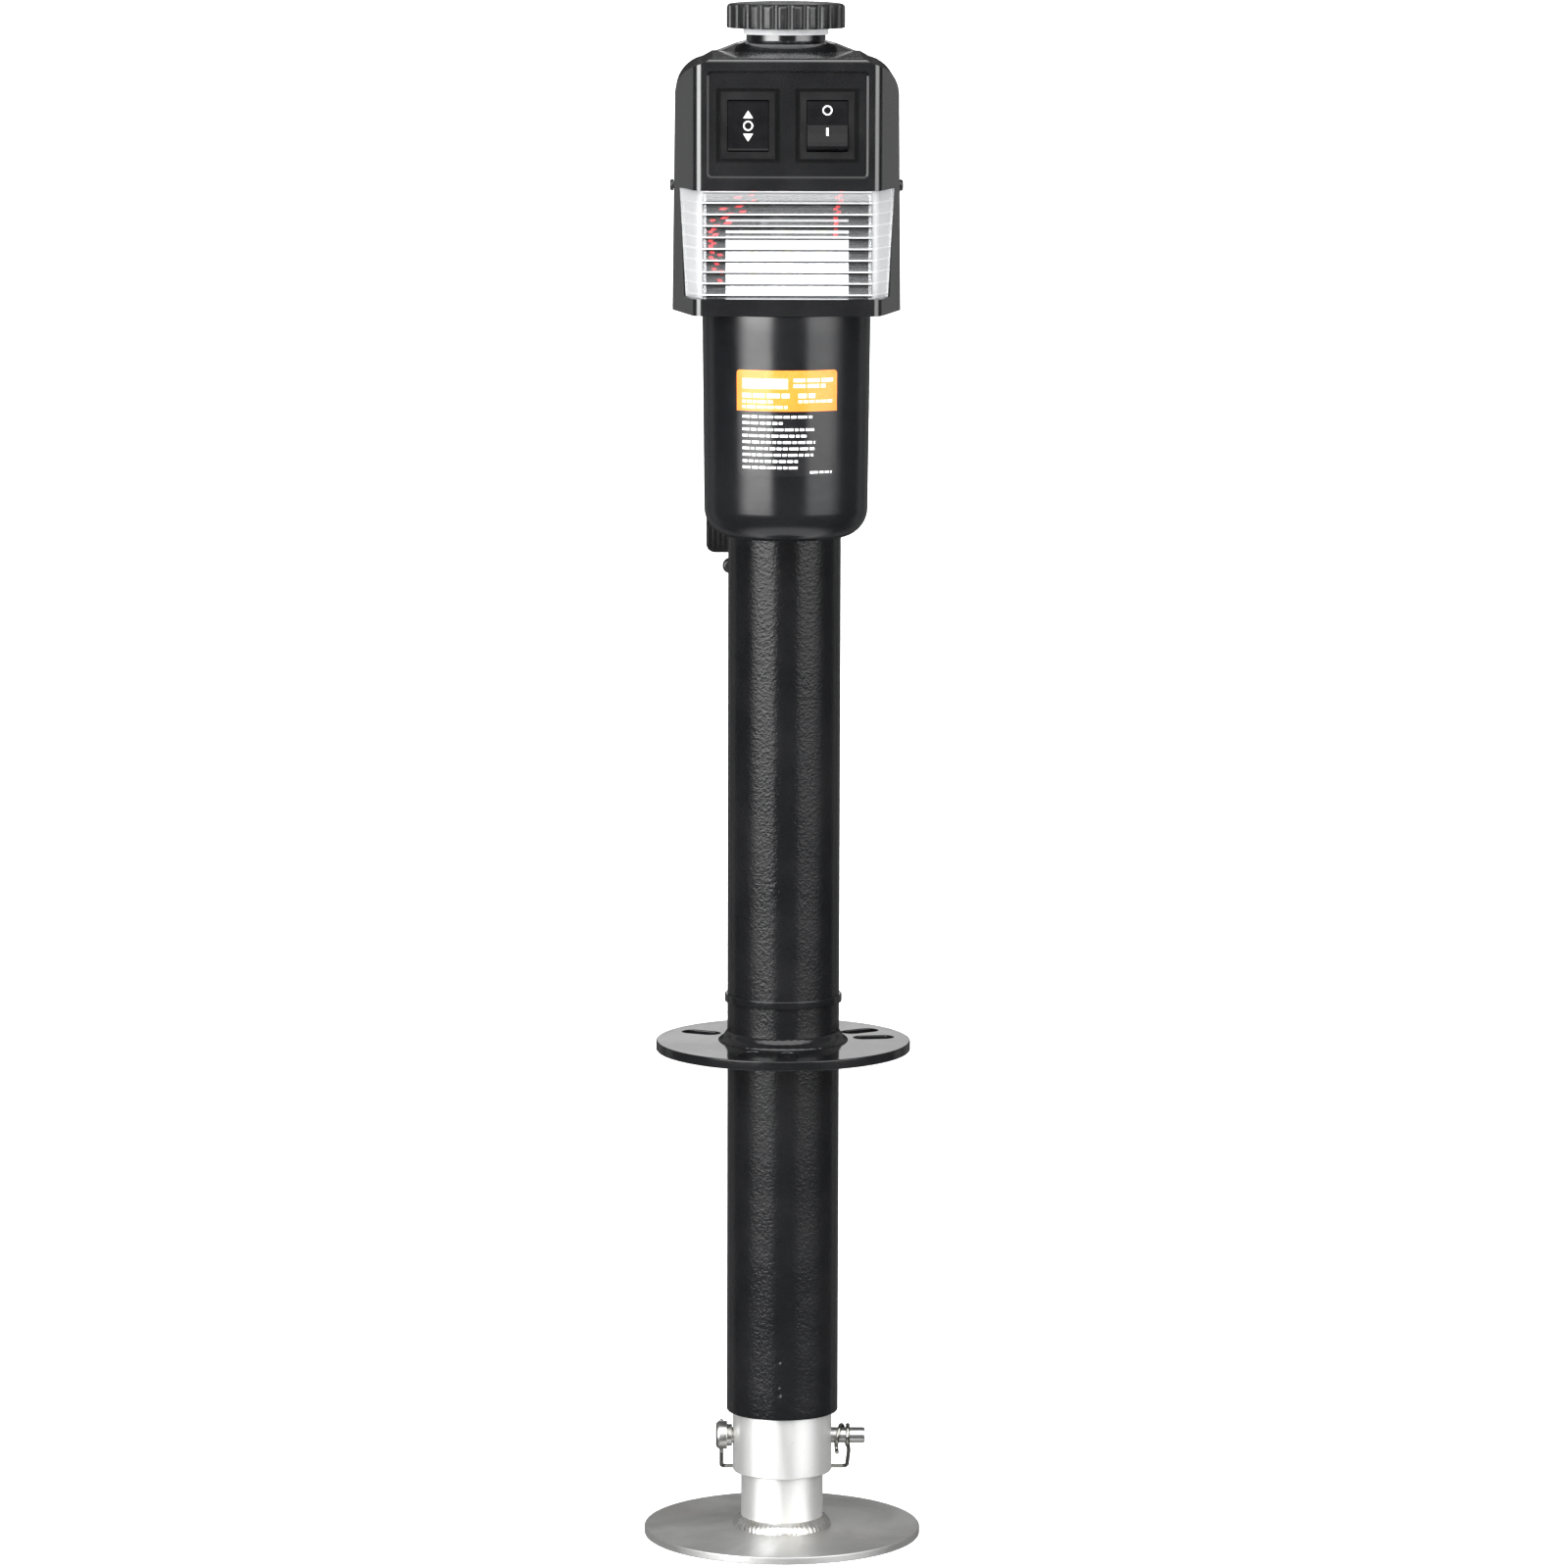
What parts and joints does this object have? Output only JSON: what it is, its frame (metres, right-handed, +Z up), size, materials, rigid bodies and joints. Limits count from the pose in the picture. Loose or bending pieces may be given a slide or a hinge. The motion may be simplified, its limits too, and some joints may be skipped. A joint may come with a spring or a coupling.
{
  "type": "electric trailer tongue jack",
  "caption": "Electric A-frame trailer tongue jack: flanged ram tube, pinned drop leg with round foot plate, motor and gear head with rocker switches, work lamp and screw-off crank cap.",
  "frame": {"origin": "centre of the underside of the foot plate, on the axis of the tubes", "axes": "+Z up the tubes towards the crank cap, -Y towards the motor, lamp and switches, +X towards the free end of the lock pin"},
  "size_m": [0.142, 0.1901, 0.7864],
  "materials": {
    "tube_paint": "textured semi-gloss black powder coat",
    "cast_paint": "satin black paint on a casting",
    "zinc": "bright zinc plate",
    "zinc_dull": "dull zinc plate with grinding haze",
    "spring_wire": "zinc-plated spring wire",
    "steel": "machined steel, oiled",
    "hard_steel": "ground hardened steel",
    "gear_steel": "sintered steel, greased",
    "bronze": "sintered bronze",
    "copper": "turned copper",
    "laminations": "stacked steel laminations, lacquered",
    "magnet": "ferrite",
    "carbon": "carbon brush",
    "card": "phenolic card",
    "gloss_cover": "glossy black moulding",
    "cover_plastic": "satin black moulding",
    "cap_plastic": "satin black moulding",
    "screw_black": "blackened steel",
    "switch_plastic": "matt black nylon",
    "rocker_plastic": "black polycarbonate",
    "lens_clear": "clear ribbed polycarbonate",
    "reflector_white": "white moulding",
    "board_white": "white solder mask",
    "led": "lamp phosphor",
    "wire_red": "red wire insulation",
    "cable_black": "black cable sheath",
    "seal_white": "white gasket",
    "label": "printed film label, plain bars on dark with an orange band"
  },
  "bodies": {
    "jack_body": {"outer_tube": "tube_paint", "anti_rotation_key": "steel", "mounting_flange": "tube_paint", "flange_weld": "tube_paint", "locator_ring": "tube_paint", "gear_case": "cast_paint", "gear_case_lid": "cast_paint", "lid_screws": "steel", "collar_bolts": "zinc", "thrust_race_upper": "hard_steel", "thrust_balls": "hard_steel", "screw_bush": "bronze", "idler_bushes": "bronze", "motor_can": "steel", "motor_end_bell": "cast_paint", "motor_magnets": "magnet", "brush_card": "card", "brushes": "carbon", "motor_bushes": "bronze", "motor_screws": "zinc", "motor_cover": "gloss_cover", "rating_label": "label", "housing_cover": "cover_plastic", "cover_screws": "screw_black", "lens": "lens_clear", "lamp_reflector": "reflector_white", "led_board": "board_white", "led_emitters": "led", "lamp_wires": "wire_red", "direction_switch_body": "switch_plastic", "light_switch_body": "switch_plastic", "cable_connector": "cover_plastic", "connector_screw": "screw_black", "power_cable": "cable_black"},
    "motor_rotor": {"motor_shaft": "hard_steel", "armature": "laminations", "commutator": "copper", "motor_pinion": "hard_steel"},
    "idler": {"idler_shaft": "hard_steel", "cluster_gear": "gear_steel", "cluster_pinion": "gear_steel"},
    "screw": {"lead_screw": "steel", "output_gear": "gear_steel", "gear_key": "steel", "thrust_race_lower": "hard_steel"},
    "ram": {"inner_tube": "zinc", "lead_nut": "bronze", "nut_pins": "steel"},
    "foot": {"drop_leg": "zinc", "foot_plate": "zinc_dull", "foot_weld": "zinc"},
    "pin": {"lock_pin": "zinc", "bail_wire": "spring_wire"},
    "direction_key": {"direction_rocker": "rocker_plastic"},
    "light_key": {"light_rocker": "rocker_plastic"},
    "cap_ring": {"cap_seal": "seal_white"},
    "cap": {"manual_cap": "cap_plastic"}
  },
  "joints": [
    {"name": "motor_spin", "type": "hinge", "parent": "jack_body", "child": "motor_rotor", "pos_m": [0, -0.074, 0.6], "axis": [0, 0, 1], "range_deg": [0, 822900]},
    {"name": "idler_spin", "type": "hinge", "parent": "jack_body", "child": "idler", "pos_m": [0.01118, -0.04359, 0.66], "axis": [0, 0, 1], "range_deg": [-164600, 0]},
    {"name": "screw_spin", "type": "hinge", "parent": "jack_body", "child": "screw", "pos_m": [0, 0, 0.62], "axis": [0, 0, 1], "range_deg": [0, 41148]},
    {"name": "leg_extend", "type": "slide", "parent": "jack_body", "child": "ram", "axis": [0, 0, -1], "range_m": [0, 0.4572]},
    {"name": "drop_leg_slide", "type": "slide", "parent": "ram", "child": "foot", "axis": [0, 0, -1], "range_m": [0, 0.1524]},
    {"name": "pin_turn", "type": "hinge", "parent": "ram", "child": "pin", "pos_m": [0, 0, 0.051], "axis": [1, 0, 0], "range_deg": [0, 50]},
    {"name": "direction_switch_tilt", "type": "hinge", "parent": "jack_body", "child": "direction_key", "pos_m": [-0.0193, -0.1133, 0.7293], "axis": [1, 0, 0], "range_deg": [-8, 8], "stiffness_Nm_per_rad": 0.3},
    {"name": "light_switch_tilt", "type": "hinge", "parent": "jack_body", "child": "light_key", "pos_m": [0.0193, -0.1133, 0.7293], "axis": [1, 0, 0], "range_deg": [0, 16]},
    {"name": "cap_lift", "type": "slide", "parent": "jack_body", "child": "cap_ring", "axis": [0, 0, 1], "range_m": [0, 0.009]},
    {"name": "cap_turn", "type": "hinge", "parent": "cap_ring", "child": "cap", "pos_m": [0, 0, 0.78], "axis": [0, 0, 1], "range_deg": [0, 1083]}
  ],
  "couplings": [
    {"joint": "idler_spin", "follows": "motor_spin", "ratio": -0.2},
    {"joint": "screw_spin", "follows": "motor_spin", "ratio": 0.05},
    {"joint": "leg_extend", "follows": "motor_spin", "m_per_rad": 0.000031831},
    {"joint": "cap_turn", "follows": "cap_lift", "rad_per_m": 2094.4}
  ]
}
